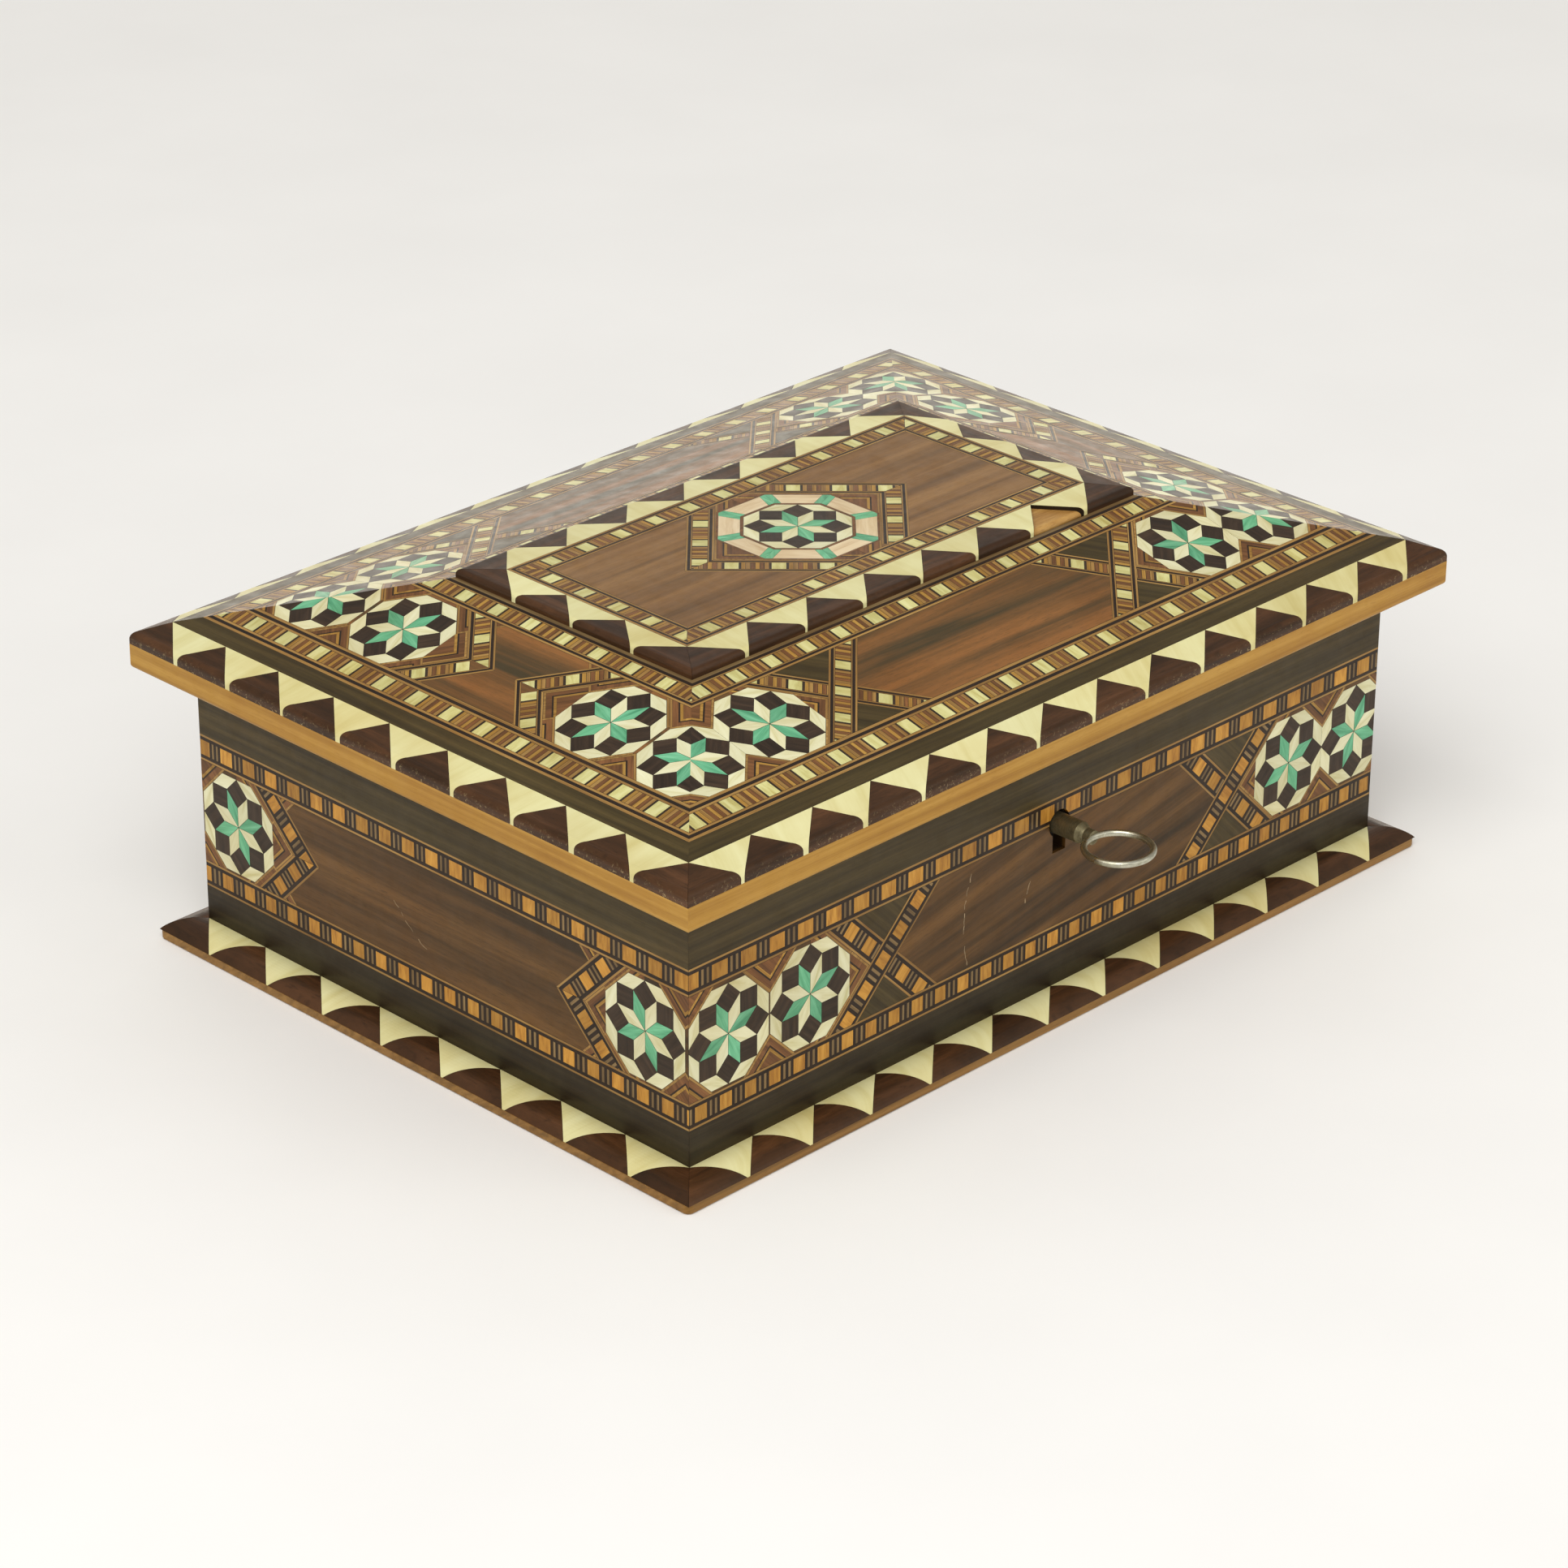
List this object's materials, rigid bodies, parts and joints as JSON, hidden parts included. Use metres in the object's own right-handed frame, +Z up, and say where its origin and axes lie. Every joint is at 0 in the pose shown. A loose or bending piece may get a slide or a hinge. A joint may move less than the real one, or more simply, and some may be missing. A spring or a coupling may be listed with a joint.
{
  "type": "inlaid wooden box",
  "caption": "Rectangular wooden box with geometric marquetry, overhanging hinged lid with sloping sides and raised panel, box lock and ring key.",
  "frame": {"origin": "centre of the base board's underside", "axes": "+X along the long side, -Y out of the wall with the keyhole, +Z up"},
  "size_m": [0.175, 0.1383, 0.0664],
  "materials": {
    "cedar_edge": "lacquered",
    "carcass_wood": "sawn",
    "toothed_rim": "lacquered",
    "marquetry": "lacquered",
    "felt": "felt",
    "brass": "satin",
    "steel": "satin",
    "key_metal": "tarnished",
    "nickel": "polished"
  },
  "bodies": {
    "box": {"base_board": "cedar_edge", "base_rim_back": "toothed_rim", "base_rim_front": "toothed_rim", "base_rim_left": "toothed_rim", "base_rim_right": "toothed_rim", "hinge_leaf_box_left": "brass", "hinge_leaf_box_right": "brass", "hinge_pin_left": "steel", "hinge_pin_right": "steel", "hinge_screws_box": "brass", "lining_back": "felt", "lining_floor": "felt", "lining_front": "felt", "lining_left": "felt", "lining_right": "felt", "lock_case": "steel", "lock_plate": "brass", "lock_screws": "brass", "lock_spring": "steel", "wall_back": "carcass_wood", "wall_front": "carcass_wood", "wall_left": "carcass_wood", "wall_marquetry_back": "marquetry", "wall_marquetry_front": "marquetry", "wall_marquetry_left": "marquetry", "wall_marquetry_right": "marquetry", "wall_right": "carcass_wood"},
    "lid": {"lid_panel": "cedar_edge", "lid_core": "carcass_wood", "platform_board": "carcass_wood", "platform_marquetry": "marquetry", "lining_lid": "felt", "hinge_leaf_lid_left": "brass", "hinge_leaf_lid_right": "brass", "hinge_screws_lid": "brass", "keeper": "brass", "keeper_screws": "brass", "lid_edge_front": "cedar_edge", "lid_edge_back": "cedar_edge", "lid_edge_left": "cedar_edge", "lid_edge_right": "cedar_edge", "lid_rim_front": "toothed_rim", "lid_rim_back": "toothed_rim", "lid_rim_left": "toothed_rim", "lid_rim_right": "toothed_rim", "lid_marquetry_front": "marquetry", "lid_marquetry_back": "marquetry", "lid_marquetry_left": "marquetry", "lid_marquetry_right": "marquetry", "platform_rim_front": "toothed_rim", "platform_rim_back": "toothed_rim", "platform_rim_left": "toothed_rim", "platform_rim_right": "toothed_rim"},
    "bolt": {"lock_bolt": "brass"},
    "key_pin": {"key_pin": "steel"},
    "key": {"key_barrel": "key_metal", "key_bit": "key_metal", "key_bow": "nickel"}
  },
  "joints": [
    {"name": "lid_hinge", "type": "hinge", "parent": "box", "child": "lid", "pos_m": [0, 0.058, 0.0486], "axis": [-1, 0, 0], "range_deg": [0, 105]},
    {"name": "key_turn", "type": "hinge", "parent": "box", "child": "key_pin", "pos_m": [0.0012, -0.049, 0.0324], "axis": [0, -1, 0], "range_deg": [0, 90]},
    {"name": "key_withdraw", "type": "slide", "parent": "key_pin", "child": "key", "axis": [0, -1, 0], "range_m": [0, 0.03]},
    {"name": "bolt_throw", "type": "slide", "parent": "box", "child": "bolt", "axis": [1, 0, 0], "range_m": [0, 0.004]}
  ],
  "couplings": [
    {"joint": "key_turn", "follows": "bolt_throw", "rad_per_m": 392.69}
  ]
}
